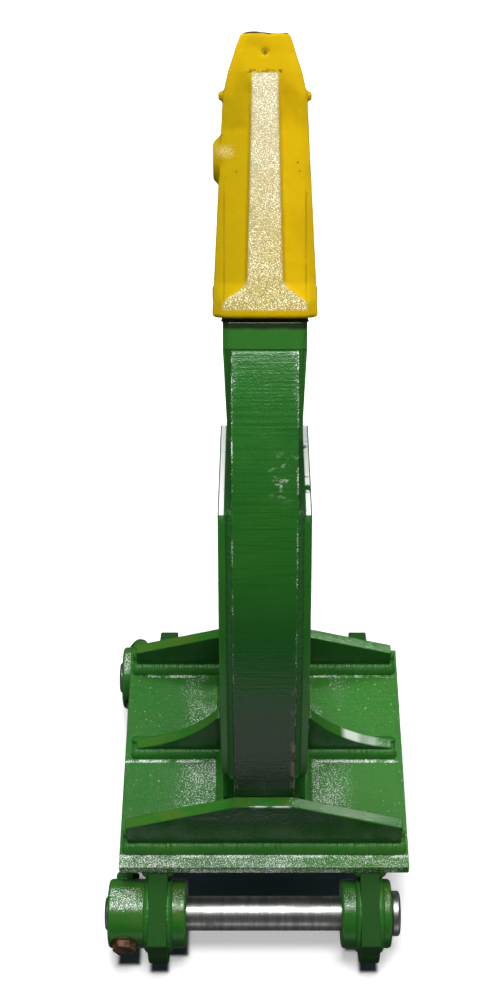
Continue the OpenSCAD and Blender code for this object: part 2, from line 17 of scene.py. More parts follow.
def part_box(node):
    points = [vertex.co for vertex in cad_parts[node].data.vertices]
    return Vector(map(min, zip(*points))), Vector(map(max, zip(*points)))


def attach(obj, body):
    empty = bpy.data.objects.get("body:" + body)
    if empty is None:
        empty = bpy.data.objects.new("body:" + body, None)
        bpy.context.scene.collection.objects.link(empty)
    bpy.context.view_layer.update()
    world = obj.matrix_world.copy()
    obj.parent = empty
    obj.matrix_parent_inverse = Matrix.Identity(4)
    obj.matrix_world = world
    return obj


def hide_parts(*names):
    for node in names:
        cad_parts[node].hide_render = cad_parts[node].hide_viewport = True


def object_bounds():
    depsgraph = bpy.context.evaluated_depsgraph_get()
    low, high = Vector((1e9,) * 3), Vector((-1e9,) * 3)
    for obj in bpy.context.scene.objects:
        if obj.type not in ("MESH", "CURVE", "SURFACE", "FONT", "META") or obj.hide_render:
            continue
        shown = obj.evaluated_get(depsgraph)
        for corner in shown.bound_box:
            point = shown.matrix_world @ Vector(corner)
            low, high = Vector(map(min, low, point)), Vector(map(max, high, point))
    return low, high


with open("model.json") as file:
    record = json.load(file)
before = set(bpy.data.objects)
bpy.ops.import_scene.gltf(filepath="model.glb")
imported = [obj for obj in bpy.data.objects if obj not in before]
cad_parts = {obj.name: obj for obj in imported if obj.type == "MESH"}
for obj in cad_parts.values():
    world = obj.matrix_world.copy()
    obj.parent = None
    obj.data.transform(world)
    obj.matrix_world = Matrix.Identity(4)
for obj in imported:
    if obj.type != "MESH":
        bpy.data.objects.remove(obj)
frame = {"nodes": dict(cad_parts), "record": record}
cad_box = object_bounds()
nodes = frame["nodes"]
scene = bpy.context.scene
print("pieces in the frame:", len(nodes))

# %% [markdown]
# ## Camera
# The ripper was photographed from above the plate's front edge, looking down at fifty degrees. A flat side
# view would be easier to set up, but a camera at the real place makes the near pins look large and lets the
# tooth recede.

# %% Place the camera
IMAGE_HEIGHT = 986
FOCAL_PIXELS = 1676
SENSOR = 36.0
CAMERA_PITCH = math.radians(50)
CAMERA_PLACE = Vector((-0.006, -0.930, 1.613))
SIDE_SHIFT = -0.0118

camera_data = bpy.data.cameras.new("camera")
camera_data.sensor_fit = "VERTICAL"
camera_data.sensor_height = SENSOR
camera_data.lens = SENSOR * FOCAL_PIXELS / IMAGE_HEIGHT
camera_data.shift_x = SIDE_SHIFT
camera = bpy.data.objects.new("camera", camera_data)
camera.location = CAMERA_PLACE
camera.rotation_euler = (math.pi / 2 - CAMERA_PITCH, 0, 0)
scene.collection.objects.link(camera)
scene.camera = camera
print("lens:", round(camera_data.lens, 1), "mm")

# %% [markdown]
# ## A small shader kit
# A material could be wired by hand in the shader editor, but sums of many masks are easier to read as
# sums. A `Wire` is one socket of a shader tree that can be added and multiplied like a number. A `Finish` is
# a material being built: its `node` method adds one node with its settings and its inputs.

# %% Wires and finishes


class Wire:
    def __init__(self, finish, socket):
        self.finish = finish
        self.socket = socket

    def __add__(self, other):
        return self.finish.maths("ADD", self, other)

    def __sub__(self, other):
        return self.finish.maths("SUBTRACT", self, other)

    def __rsub__(self, other):
        return self.finish.maths("SUBTRACT", other, self)

    def __mul__(self, other):
        return self.finish.maths("MULTIPLY", self, other)

    def __abs__(self):
        return self.finish.maths("ABSOLUTE", self, 0)

    __radd__ = __add__
    __rmul__ = __mul__


class Finish:
    def __init__(self, name):
        self.material = bpy.data.materials.new(name)
        self.material.use_nodes = True
        self.tree = self.material.node_tree
        self.shader = self.tree.nodes["Principled BSDF"]
        self.place = self.node("ShaderNodeTexCoord", output="Object")
        self.facing = self.node("ShaderNodeTexCoord", output="Normal")

    def node(self, kind, settings=None, inputs=None, output=0):
        made = self.tree.nodes.new(kind)
        for key, value in (settings or {}).items():
            setattr(made, key, value)
        for key, value in (inputs or {}).items():
            self.feed(made.inputs[key], value)
        return Wire(self, made.outputs[output])

    def feed(self, socket, value):
        if isinstance(value, Wire):
            self.tree.links.new(value.socket, socket)
        elif isinstance(value, tuple) and len(value) == 3 and socket.type == "RGBA":
            socket.default_value = (*value, 1)
        else:
            socket.default_value = value

    def maths(self, operation, a, b):
        return self.node("ShaderNodeMath", {"operation": operation}, {0: a, 1: b})

    def most(self, a, b):
        return self.maths("MAXIMUM", a, b)

    def axis(self, name, vector=None):
        return self.node("ShaderNodeSeparateXYZ", inputs={0: vector or self.place}, output=name)

    def stretched(self, x, y, z):
        return self.node("ShaderNodeVectorMath", {"operation": "MULTIPLY"}, {0: self.place, 1: (x, y, z)})

    def noise(self, scale, detail=2.0, roughness=0.5, place=None):
        return self.node("ShaderNodeTexNoise", inputs={
            "Vector": place or self.place, "Scale": scale, "Detail": detail, "Roughness": roughness})

    def ramp(self, value, low, high):
        return self.node("ShaderNodeMapRange", {"interpolation_type": "SMOOTHSTEP"}, {
            "Value": value, "From Min": low, "From Max": high})

    def upward(self, low, high):
        return self.ramp(self.axis("Z", self.facing), low, high)

    def band(self, value, low, high, soft):
        return self.ramp(value, low - soft, low + soft) * self.ramp(value, high + soft, high - soft)

    def spots(self, scale, detail, low, high, roughness=0.5, place=None):
        return self.ramp(self.noise(scale, detail, roughness, place), low, high)

    def streaks(self, stretch, detail, low, high, roughness=0.6):
        return self.spots(1, detail, low, high, roughness, self.stretched(*stretch))

    def mix(self, share, a, b):
        return self.node("ShaderNodeMix", {"data_type": "RGBA"}, {0: share, 6: a, 7: b}, output=2)

    def bump(self, height, depth):
        return self.node("ShaderNodeBump", inputs={"Height": height, "Distance": depth, "Strength": 1.0})

    def done(self, **values):
        for key, value in values.items():
            self.feed(self.shader.inputs[key.replace("_", " ")], value)
        return self.material


print("methods of a finish:", [name for name in vars(Finish) if not name.startswith("__")])

# %% [markdown]
# ## Finishes
# All patterns are in metres on the object. The tooth leans, so a pattern along it needs the tooth's own
# axis, which is measured here once: from its tip towards the middle of its pin.

# %% Find the axis of the tooth
TIP_DEPTH = 0.004
tooth_points = np.array([vertex.co for vertex in nodes["tooth"].data.vertices])
tip_points = tooth_points[tooth_points[:, 2] > tooth_points[:, 2].max() - TIP_DEPTH]
tooth_tip = Vector(tip_points.mean(axis=0))
pin_low, pin_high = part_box("tooth_pin")
tooth_way = (tooth_tip - (pin_low + pin_high) / 2).normalized()
tooth_length = float(((np.array(tooth_tip) - tooth_points) @ np.array(tooth_way)).max())


def behind_tip(paint):
    """How far a point lies behind the tip, as a share of the tooth's length."""
    subtract, project = {"operation": "SUBTRACT"}, {"operation": "DOT_PRODUCT"}
    away = paint.node("ShaderNodeVectorMath", subtract, {0: tuple(tooth_tip), 1: paint.place})
    length = paint.node("ShaderNodeVectorMath", project, {0: away, 1: tuple(tooth_way)}, output="Value")
    return length * (1 / tooth_length)


print("tooth length:", round(tooth_length, 4))

# %% [markdown]
# ### Green paint
# The ripper is sprayed with gloss green over rough plate. An image could be wrapped round each plate, but
# noise on object coordinates needs no unwrapping and shows no seam. Broad noise shifts the green, fine
# noise raises an orange peel, and painted pale specks stand for highlights on the points of the peel.

# %% Green paint
DEEP_GREEN = (0.018, 0.135, 0.014)
WARM_GREEN = (0.034, 0.160, 0.014)
DARK_GREEN = (0.010, 0.090, 0.012)
BARE_BROWN = (0.130, 0.095, 0.045)
OLIVE = (0.075, 0.125, 0.016)
GLINT = (0.80, 0.87, 0.80)
GLOSS = 0.10
RELIEF = 0.0004
TINT_SHARE = 0.8
PAINTED_SHEEN = 0.06
GLINT_SCALE = 980
GLINT_GAIN = 0.16


def green_paint(name, roughness=GLOSS, tint=None, olive=0.1, marks=None):
    paint = Finish(name)
    up = paint.upward(0.3, 0.95)
    colour = paint.mix(paint.spots(9, 3, 0.45, 0.75), DEEP_GREEN, WARM_GREEN)
    colour = paint.mix(paint.spots(23, 4, 0.55, 0.8) * 0.6, colour, DARK_GREEN)
    colour = paint.mix(paint.spots(45, 3, 0.42, 0.66) * up * olive, colour, OLIVE)
    chips = paint.spots(160, 3, 0.71, 0.73, 0.6) * paint.spots(14, 1, 0.52, 0.6)
    colour = paint.mix(chips, colour, BARE_BROWN)
    if tint:
        colour = paint.mix(TINT_SHARE, colour, tint)
    peel = paint.noise(210, 2) * 0.6 + paint.noise(760, 1.5) * (0.35 + 0.3 * up)
    if marks:
        colour, peel = marks(paint, colour, peel)
    rough = roughness + 0.14 * paint.noise(420, 2)
    return paint.done(Base_Color=colour, Roughness=rough, Normal=paint.bump(peel, RELIEF))


def glints(paint, colour, share):
    """Paint highlights: a faint sheen, and pale specks for points of the orange peel that catch the light, over
    up to half the surface at share 1.
    """
    glint_points = paint.ramp(paint.noise(GLINT_SCALE, 1.5) + share * GLINT_GAIN, 0.63, 0.72)
    colour = paint.mix(share * PAINTED_SHEEN, colour, GLINT)
    return paint.mix(glint_points * paint.ramp(share, 0, 0.15), colour, GLINT)


green = green_paint("green_paint")
weld_green = green_paint("green_weld_paint", roughness=0.3)
print("plain greens:", green.name, weld_green.name)

# %% [markdown]
# ### Marks on the plate
# The plate lies flat, so its peel glints beside the shank, along the toes of the welds and on its front
# strip, which falls away a little. Lamps alone give a smooth sheen instead of sharp specks, so the glints
# are painted highlights, and the plate is painted lighter, most towards the right, as painted light. The
# strip and the toes are worked out from the boxes of the plate and the gussets.

# %% Marks on the base plate
LIT_PLATE_GREEN = (0.050, 0.245, 0.026)
PLATE_FADE = (-0.12, 0.05)
EDGE_BAND = 0.015
EDGE_FALL = 0.09
TOE_OFFSET = 0.0105
TOE_BAND = 0.0016
TOE_SOFT = 0.0008
BAY_REACH = (0.105, 0.035)
BAY_SOFT = 0.004
GLINT_REACH = (0.10, 0.05)


def plate_marks(paint, colour, peel):
    x, y = paint.axis("X"), paint.axis("Y")
    side = abs(x)
    # Painted light: the plate is painted lighter towards the right, and sparse pale specks are painted
    # highlights.
    colour = paint.mix(0.35 * paint.ramp(x, *PLATE_FADE), colour, LIT_PLATE_GREEN)
    colour = paint.mix(paint.spots(420, 2, 0.70, 0.74) * 0.7, colour, GLINT)
    slope = EDGE_FALL / RELIEF
    top_edge = EDGE_BAND * slope
    fall = (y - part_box("base_plate")[0].y) * slope
    # Painted highlights on the front strip, beside the shank and along the toes of the welds; the strip's fall
    # is real relief.
    share = paint.ramp(fall, top_edge, top_edge * 0.8) * (0.2 + 0.5 * paint.spots(25, 2, 0.35, 0.6))
    bay = paint.band(y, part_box("front_gusset")[1].y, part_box("right_mid_gusset")[0].y - TOE_OFFSET, BAY_SOFT)
    patches = paint.spots(22, 2, 0.35, 0.62)
    share = paint.most(share, bay * paint.ramp(side, *BAY_REACH) * (0.5 + 0.7 * patches))
    share = paint.most(share, paint.ramp(side, *GLINT_REACH) * patches * 0.55)
    for name in ("front_gusset", "right_mid_gusset", "right_rear_gusset"):
        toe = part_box(name)[0].y - TOE_OFFSET
        line = paint.band(y, toe - TOE_BAND, toe + TOE_BAND, TOE_SOFT)
        share = paint.most(share, line * paint.spots(60, 2, 0.35, 0.6) * 1.2)
    return glints(paint, colour, share), peel + paint.maths("MINIMUM", fall, top_edge)


plate_green = green_paint("green_plate_paint", marks=plate_marks)
print("plate paint:", len(plate_green.node_tree.nodes), "nodes")

# %% [markdown]
# ### Marks on the shank
# The shank is one thick flame-cut plate. The torch left drag lines across its front edge, its rims are
# chipped, and brown smudges lie on its foot, which is also painted darker as shade. Its top and front
# corners carry painted highlights. The lines are noise stretched along X. They shift the colour as well as
# the relief, because relief alone is too faint at the camera's distance.

# %% Marks on the shank
COLD_GREEN = (0.009, 0.125, 0.016)
LOW_GREEN = (0.005, 0.060, 0.008)
DARKEST_GREEN = (0.012, 0.036, 0.016)
SMUDGE = (0.050, 0.042, 0.022)
CHIP_TAN = (0.240, 0.200, 0.110)
FRONT_FACING = (-0.15, -0.35)
DRAG_LINES = (14, 420, 420)
COLD_FADE = (0.50, 0.30)
SMUDGE_FADE = (0.36, 0.20)
LOW_FADE = (0.44, 0.34)
FOOT_SHADE_FADE = (0.34, 0.24)
CHIP_FADE = (0.36, 0.26)
CHIP_RIM = (0.0065, 0.0015)
CHIP_SIDE = (0.000, 0.020)
SCUFF_BAND = (0.484, 0.508)
SCUFF_SOFT = 0.008
SCUFF_SIDE = (0.000, 0.014)
LINE_FADE = (0.30, 0.45)
SHINE_BAND = (0.584, 0.600)
SHINE_SOFT = 0.003
SHINE_SIDE = (-0.02, 0.01)
UPPER_SHINE = (0.565, 0.590)
RIM_SHINE = (0.008, 0.001)
RIM_FADE = (0.53, 0.58)
CORNER = (0.0022, 0.0010)
CORNER_FADE = (0.24, 0.56)
shank_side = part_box("shank")[1].x


def shank_shade_and_wear(paint, colour, front, x, z):
    """Paint shade that darkens the shank towards its foot, lay brown smudges and chip the low part of its front
    rims.
    """
    # Painted shade: the green darkens in steps to a near black towards the foot; the brown smudges are stains.
    colour = paint.mix(paint.ramp(z, *COLD_FADE) * 0.6, colour, COLD_GREEN)
    smudge = paint.streaks((30, 22, 16), 3, 0.48, 0.68)
    colour = paint.mix(smudge * paint.ramp(z, *SMUDGE_FADE) * 0.35, colour, SMUDGE)
    colour = paint.mix(paint.ramp(z, *LOW_FADE) * 0.6, colour, LOW_GREEN)
    colour = paint.mix(paint.ramp(z, *FOOT_SHADE_FADE) * 0.75, colour, DARKEST_GREEN)
    rim = front * paint.ramp(shank_side - abs(x), *CHIP_RIM) * paint.ramp(z, *CHIP_FADE)
    flakes = paint.noise(1, 4, 0.6, paint.stretched(150, 60, 60)) + 0.08 * paint.ramp(x, *CHIP_SIDE)
    return paint.mix(rim * paint.ramp(flakes, 0.58, 0.66) * 0.8, colour, CHIP_TAN)


def shank_marks(paint, colour, peel):
    x, z = paint.axis("X"), paint.axis("Z")
    front = paint.ramp(paint.axis("Y", paint.facing), *FRONT_FACING)
    colour = shank_shade_and_wear(paint, colour, front, x, z)
    scuff = paint.band(z, *SCUFF_BAND, SCUFF_SOFT) * paint.ramp(x, *SCUFF_SIDE)
    colour = paint.mix(scuff * paint.streaks((110, 110, 240), 4, 0.56, 0.66, 0.7) * 0.5, colour, GLINT)
    lines = paint.noise(1, 3, 0.6, paint.stretched(*DRAG_LINES))
    colour = paint.mix(paint.ramp(lines, 0.50, 0.62) * paint.ramp(z, *LINE_FADE) * 0.5, colour, DARK_GREEN)
    from_side = shank_side - abs(x)
    # Painted highlights: a bright band along the top of the front, a sheen near the upper rims and glints along
    # the front corners.
    shine = paint.band(z, *SHINE_BAND, SHINE_SOFT)
    rim_shine = paint.ramp(from_side, *RIM_SHINE) * paint.ramp(z, *RIM_FADE) * 0.35
    top = shine * 1.1 + paint.ramp(z, *UPPER_SHINE) * 0.15 + rim_shine
    corner = front * paint.ramp(from_side, *CORNER) * paint.ramp(z, *CORNER_FADE) * 1.2
    share = paint.most(top, corner * paint.spots(34, 3, 0.40, 0.55)) * paint.spots(55, 3, 0.35, 0.6)
    colour = paint.mix(shine * paint.ramp(x, *SHINE_SIDE) * 0.45, colour, GLINT)
    return glints(paint, colour, share), peel + lines * 0.8


shank_green = green_paint("green_cut_paint", olive=0, marks=shank_marks)
print("shank paint:", len(shank_green.node_tree.nodes), "nodes")

# %% [markdown]
# ### Marks on the gussets and cheeks
# The gussets stand upright, so their walls are painted darker as shade and only their top edges get
# painted highlights: the front one on its lip, the right mid one in its hollow. The cheeks' sloping tops
# are painted darker, with a painted reflection in a bright outer strip. The way a face looks tells a top
# from a wall, so one paint serves both.

# %% Marks on the gussets and cheeks
WALL_SHADE_GREEN = (0.004, 0.045, 0.016)
WHITE_SHEEN = (0.95, 0.98, 0.95)
OLIVE_SIDE = (-0.02, -0.06)
HOLLOW_SHINE = (0.084, 0.101)
HOLLOW_END = 0.12
HOLLOW_SOFT = 0.004
WALL_SOFT = 0.002
LIP_DEPTH = 0.0012
LIP_DROP = 0.004
LIP_SIDE = (-0.012, 0.030)
LIP_SOFT = 0.004
CHEEK_SHINE = (0.30, 0.32)
CHEEK_STRIP = (0.0052, 0.0011)
STRIP_SOFT = 0.0005


def gusset_marks(paint, colour, peel):
    x, y, z = paint.axis("X"), paint.axis("Y"), paint.axis("Z")
    up = paint.upward(0.1, 0.4)
    # Painted shade: the upright walls are darker.
    colour = paint.mix((1 - up) * 0.5, colour, WALL_SHADE_GREEN)
    olive = up * paint.ramp(x, *OLIVE_SIDE) * paint.spots(30, 3, 0.35, 0.6)
    colour = paint.mix(olive * 0.35, colour, OLIVE)
    # Painted highlight in the hollow of the right mid gusset.
    mid_low, mid_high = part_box("right_mid_gusset")
    hollow = up * paint.band(y, mid_low.y, mid_high.y, WALL_SOFT)
    beyond = paint.band(x, HOLLOW_SHINE[1], HOLLOW_END, HOLLOW_SOFT)
    sheen = paint.band(x, *HOLLOW_SHINE, HOLLOW_SOFT) * 0.75 + beyond * 0.25
    colour = paint.mix(hollow * sheen, colour, GLINT)
    # Painted highlight along the front gusset's lip.
    front_low, front_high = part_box("front_gusset")
    lip = paint.band(y, front_low.y, front_low.y + LIP_DEPTH, LIP_DEPTH / 2)
    lip = lip * paint.ramp(z, front_high.z - LIP_DROP, front_high.z) * paint.band(x, *LIP_SIDE, LIP_SOFT)
    return paint.mix(lip * paint.spots(90, 3, 0.35, 0.55) * 0.8, colour, GLINT), peel


def cheek_marks(paint, colour, peel):
    slope = paint.upward(0.55, 0.7) * paint.ramp(paint.axis("Z"), *CHEEK_SHINE)
    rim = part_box("right_cheek_plate")[1].x
    strip = paint.band(abs(paint.axis("X")), rim - CHEEK_STRIP[0], rim - CHEEK_STRIP[1], STRIP_SOFT)
    worn = paint.ramp(paint.noise(48, 3) + 0.12 * paint.noise(600, 2), 0.38, 0.44)
    # The sloping top is painted darker, and its bright outer strip is a painted reflection, broken where the
    # noise leaves gaps.
    colour = paint.mix(slope * 0.6, colour, DARKEST_GREEN)
    return paint.mix(slope * strip * worn, colour, WHITE_SHEEN), peel


gusset_green = green_paint("green_gusset_paint", olive=0.4, marks=gusset_marks)
cheek_green = green_paint("green_cheek_paint", marks=cheek_marks)
print("upright paints:", gusset_green.name, cheek_green.name)

# %% [markdown]
# ### Bosses, collar, ears and seams
# The bosses get painted highlights along their tops, and the collar gets painted shade under the mouth of
# the tooth and is painted lighter. The cheeks' seams are painted darker, as shade in the grooves where they
# lie, and the ears are only a darker and duller green.

# %% Paint the other welded pieces
MOUTH_SHADE = (0.012, 0.012, 0.008)
MOUTH_SHARE = (1.035, 1.022)
EAR_GREEN = (0.008, 0.050, 0.005)
SEAM_SHADE_GREEN = (0.010, 0.075, 0.012)
LONG_BOSS = (-0.125, -0.135)


def boss_marks(paint, colour, peel):
    # Painted highlights along the tops of the bosses, strongest at the outer end of the left long boss.
    outer = 0.15 + 0.5 * paint.ramp(paint.axis("X"), *LONG_BOSS)
    return glints(paint, colour, paint.upward(0.90, 0.985) * outer), peel


def collar_marks(paint, colour, peel):
    # Painted shade under the mouth of the tooth; the collar is also painted lighter, as painted light.
    mouth_shade = paint.ramp(behind_tip(paint) + 0.01 * paint.noise(90, 3), *MOUTH_SHARE)
    colour = paint.mix(0.3, colour, LIT_PLATE_GREEN)
    return paint.mix(mouth_shade * 0.9, colour, MOUTH_SHADE), peel


boss_green = green_paint("green_boss_paint", olive=0.5, marks=boss_marks)
collar_green = green_paint("green_collar_paint", marks=collar_marks)
ear_green = green_paint("green_ear_paint", roughness=0.8, tint=EAR_GREEN)
# The seams are painted darker, as painted shade in their grooves.
seam_shade_green = green_paint("green_seam_shade_paint", roughness=0.5, tint=SEAM_SHADE_GREEN)
print("green paints:", len([m for m in bpy.data.materials if m.name.startswith("green")]))

# %% [markdown]
# ### Yellow casting
# The tooth is a sand casting under yellow paint. Its flanks are matt, its glossy rib carries grainy painted
# highlights, and its tip is worn to brown metal. The rib could get a material of its own, but the border
# would then follow the mesh. A mask on the rib's width, which flares towards the mouth, keeps that border
# smooth.

# %% Lines, punch mark and chips
CHIP_BROWN = (0.050, 0.036, 0.018)
LINE_SHADE = (0.27, 0.16, 0.002)
SIDE_LINE = (0.0350, 0.0364)
LINE_SOFT = 0.001
LINE_SHARE = (0.55, 0.93)
LINE_END = 0.02
PUNCH_SHARE = 0.067
PUNCH_SIZE = 0.0022
RIB_SHARE = (0.135, 0.952)
CHIPPED_SHARE = 0.012
CHIPPED_SIDE = (0.0165, 0.0145)


def casting_marks(paint, colour, side, from_tip):
    """Draw the lines along the sides, the punch mark by the tip and the chips above the rib."""
    line = paint.band(side, *SIDE_LINE, LINE_SOFT) * paint.band(from_tip, *LINE_SHARE, LINE_END)
    colour = paint.mix(line * paint.spots(50, 3, 0.22, 0.52) * 0.85, colour, LINE_SHADE)
    from_punch = side + abs(from_tip - PUNCH_SHARE) * tooth_length
    punch = paint.ramp(from_punch, PUNCH_SIZE * 1.4, PUNCH_SIZE * 0.6)
    colour = paint.mix(punch * 0.7, colour, CHIP_BROWN)
    chipped = paint.band(from_tip, RIB_SHARE[0] - CHIPPED_SHARE, RIB_SHARE[0], CHIPPED_SHARE / 3)
    chipped = chipped * paint.ramp(side, *CHIPPED_SIDE) * paint.spots(330, 3, 0.46, 0.56)
    return paint.mix(chipped * 0.7, colour, CHIP_BROWN)


print("rib, from the tip:", [round(share * tooth_length, 3) for share in RIB_SHARE])

# %% [markdown]
# The rib's glitter is painted highlight and reflection, and looks like frost from afar. Fine noise is cut at
# three heights: dark hollows, a pale ground and bright points, which turn to silver towards the tip.

# %% Bright rib
RIB_HALF = 0.0105
RIB_TAPER = 0.0055
RIB_FLARE = 0.021
RIB_SOFT = 0.0008
RIB_END = 0.006
FLARE_SHARE = (0.78, 0.935)
RIB_GLINT = (0.92, 0.88, 0.60)
RIB_PALE = (0.50, 0.41, 0.11)
RIB_SHADE = (0.23, 0.19, 0.08)
SILVER = (0.74, 0.74, 0.71)
SILVER_FADE = (1.1, 0.10)
LUG_SHARE = (0.39, 0.425)
LUG_END = 0.014
LUG_SIDE = (-0.042, -0.028)
LUG_SOFT = 0.004


def rib_mask(paint, side, from_tip):
    flare = paint.maths("POWER", paint.ramp(from_tip, *FLARE_SHARE), 4)
    beyond = side - RIB_HALF - from_tip * RIB_TAPER - flare * RIB_FLARE
    return paint.ramp(beyond, RIB_SOFT, -RIB_SOFT) * paint.band(from_tip, *RIB_SHARE, RIB_END)


def rib_glints(paint, colour, x, from_tip, rib):
    """Paint highlights on the rib as bright and dark specks, and a painted glint on a spot of the lug."""
    grain = paint.noise(1000, 1.5)
    # Painted highlight: the rib is paler, with dark specks and bright points.
    colour = paint.mix(rib * 0.6, colour, RIB_PALE)
    colour = paint.mix(rib * paint.ramp(grain, 0.52, 0.44) * 0.75, colour, RIB_SHADE)
    colour = paint.mix(rib * paint.ramp(grain + 0.20 * paint.noise(60, 2), 0.63, 0.75), colour, RIB_GLINT)
    # Painted reflection: the rib's colour turns silver towards the tip.
    colour = paint.mix(rib * paint.ramp(from_tip, *SILVER_FADE) * 0.28, colour, SILVER)
    lug = paint.band(from_tip, *LUG_SHARE, LUG_END) * paint.band(x, *LUG_SIDE, LUG_SOFT)
    return paint.mix(lug * paint.ramp(grain, 0.36, 0.70) * 0.35, colour, RIB_GLINT)


print("rib at the mouth:", round(2 * (RIB_HALF + RIB_TAPER + RIB_FLARE), 4), "wide")

# %% [markdown]
# The whole finish is laid in layers: paint first, with painted shade on its left flank, then wear at the
# tip, pits and marks, as on the real tooth, and the rib's painted highlights last. A later layer covers an
# earlier one, so the order matters.

# %% Yellow casting
YELLOW = (0.53, 0.345, 0.001)
DULL_YELLOW = (0.46, 0.295, 0.001)
LEFT_SHADE_YELLOW = (0.40, 0.28, 0.001)
LEFT_SIDE = (0.0, -0.012)
BLADE_FADE = (0.12, 0.20)
WEAR_SHARE = (0.034, 0.016)
CAST_RELIEF = 0.0003
MATT_SHINE = 0.14


def yellow_casting():
    paint = Finish("yellow_paint")
    x, from_tip = paint.axis("X"), behind_tip(paint)
    colour = paint.mix(paint.spots(30, 4, 0.4, 0.7), YELLOW, DULL_YELLOW)
    # Painted shade: the left flank, back from the blade, is darker.
    left = paint.ramp(x, *LEFT_SIDE) * paint.ramp(from_tip, *BLADE_FADE)
    colour = paint.mix(left * 0.8, colour, LEFT_SHADE_YELLOW)
    wear = paint.ramp(from_tip + 0.05 * paint.noise(60, 4), *WEAR_SHARE)
    wear = paint.ramp(wear + paint.noise(240, 3, 0.6), 0.98, 1.12)
    pits = paint.spots(190, 3, 0.68, 0.71, 0.65) * paint.spots(25, 1, 0.5, 0.62)
    colour = paint.mix(wear, colour, CHIP_BROWN)
    colour = paint.mix(pits, colour, CHIP_BROWN)
    colour = casting_marks(paint, colour, abs(x), from_tip)
    rib = rib_mask(paint, abs(x), from_tip)
    colour = rib_glints(paint, colour, x, from_tip, rib)
    relief = paint.noise(150, 3, 0.6) + paint.noise(900, 1.5) * 1.2 - pits * 0.6 - wear * 0.8
    rough = 0.9 - 0.6 * rib + 0.06 * paint.noise(300, 2)
    normal = paint.bump(relief, CAST_RELIEF)
    return paint.done(Base_Color=colour, Roughness=rough, Specular_IOR_Level=MATT_SHINE, Normal=normal)


yellow = yellow_casting()
print("yellow paint:", len(yellow.node_tree.nodes), "nodes")

# %% [markdown]
# ### Steel and rust
# The hanger pins are turned from bright bar, so fine rings run round them, which is noise squeezed along
# the pin. The bolts have rusted. A metal shows mostly what it reflects, so the rings and stains change its
# roughness as well as its colour.

# %% Steel and rust
BRIGHT_STEEL = (0.74, 0.75, 0.74)
GREY_STEEL = (0.50, 0.51, 0.50)
STAINED_STEEL = (0.42, 0.41, 0.38)
RING_STRETCH = (170, 25, 25)
RING_RELIEF = 0.00004
DARK_RUST = (0.060, 0.032, 0.016)
LIGHT_RUST = (0.200, 0.105, 0.050)
RUST_RELIEF = 0.0003


def turned_steel():
    metal = Finish("bare_steel")
    rings = metal.noise(1, 4, 0.6, metal.stretched(*RING_STRETCH))
    stain = metal.spots(40, 3, 0.56, 0.72)
    colour = metal.mix(metal.ramp(rings, 0.35, 0.65), BRIGHT_STEEL, GREY_STEEL)
    colour = metal.mix(stain, colour, STAINED_STEEL)
    rough = 0.26 + 0.16 * rings + 0.12 * stain
    normal = metal.bump(rings, RING_RELIEF)
    return metal.done(Base_Color=colour, Metallic=1.0, Roughness=rough, Normal=normal)


def rusty_steel():
    metal = Finish("rusty_steel")
    patch = metal.spots(120, 4, 0.4, 0.65, 0.6)
    colour = metal.mix(patch, DARK_RUST, LIGHT_RUST)
    normal = metal.bump(patch, RUST_RELIEF)
    return metal.done(Base_Color=colour, Metallic=0.3, Roughness=0.55, Normal=normal)


steel = turned_steel()
rusty = rusty_steel()
print("metals:", steel.name, rusty.name)

# %% [markdown]
# ## Plates with soft edges
# A flame-cut plate never has a razor edge. A Bevel modifier alone would find nothing to round, because the
# CAD meshes are loose triangles that share no edges. So each mesh is copied, its points are merged and its
# flat faces made whole, and then its sharp edges get a small round, which is what catches the light.

# %% Copy and adopt CAD pieces
FLAT_ANGLE = math.radians(1)
MERGE = 1e-6
slot_of = {part["node"]: part["material_slot"] for part in frame["record"]["subparts"]}


def settle(piece):
    """Turn a piece and its modifiers into one plain mesh."""
    state = bpy.context.evaluated_depsgraph_get()
    mesh = bpy.data.meshes.new_from_object(piece.evaluated_get(state))
    piece.modifiers.clear()
    piece.data = mesh
    return piece


def adopt(piece, material, *names):
    """Make a finished piece stand for these CAD nodes."""
    piece.data.materials.clear()
    piece.data.materials.append(material)
    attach(piece, "root")
    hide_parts(*names)
    return piece


def clean_copy(name):
    """Copy a CAD node's mesh with doubled points merged and flat faces whole."""
    work = bmesh.new()
    work.from_mesh(nodes[name].data)
    bmesh.ops.remove_doubles(work, verts=work.verts, dist=MERGE)
    bmesh.ops.dissolve_limit(work, angle_limit=FLAT_ANGLE, verts=work.verts, edges=work.edges)
    return work


def to_piece(work, name):
    mesh = bpy.data.meshes.new(name)
    work.to_mesh(mesh)
    work.free()
    piece = bpy.data.objects.new(name, mesh)
    scene.collection.objects.link(piece)
    return piece


print("slots:", sorted(set(slot_of.values())))

# %% [markdown]
# Painted plates are blunter than machined pins and bolts, and the thick shank and the adapter are the
# bluntest. Each piece takes its finish by the end of its name, so that left and right pieces match.

# %% Soften the plates, pins and bosses
SHARP_ANGLE = math.radians(28)
FLAT_WEIGHT = 80
PLATE_ROUND = 0.0012
FINE_ROUND = 0.0006
EDGE_ROUND = {"shank": 0.0018, "tooth_adapter": 0.0016}
SLOT_FINISH = {"green_paint": green, "bare_steel": steel, "rusty_steel": rusty}
PIECE_FINISH = {"base_plate": plate_green, "shank": shank_green, "_cheek_plate": cheek_green,
                "_gusset": gusset_green, "_ear": ear_green, "_boss": boss_green, "_nut": green,
                "tooth_adapter": collar_green}


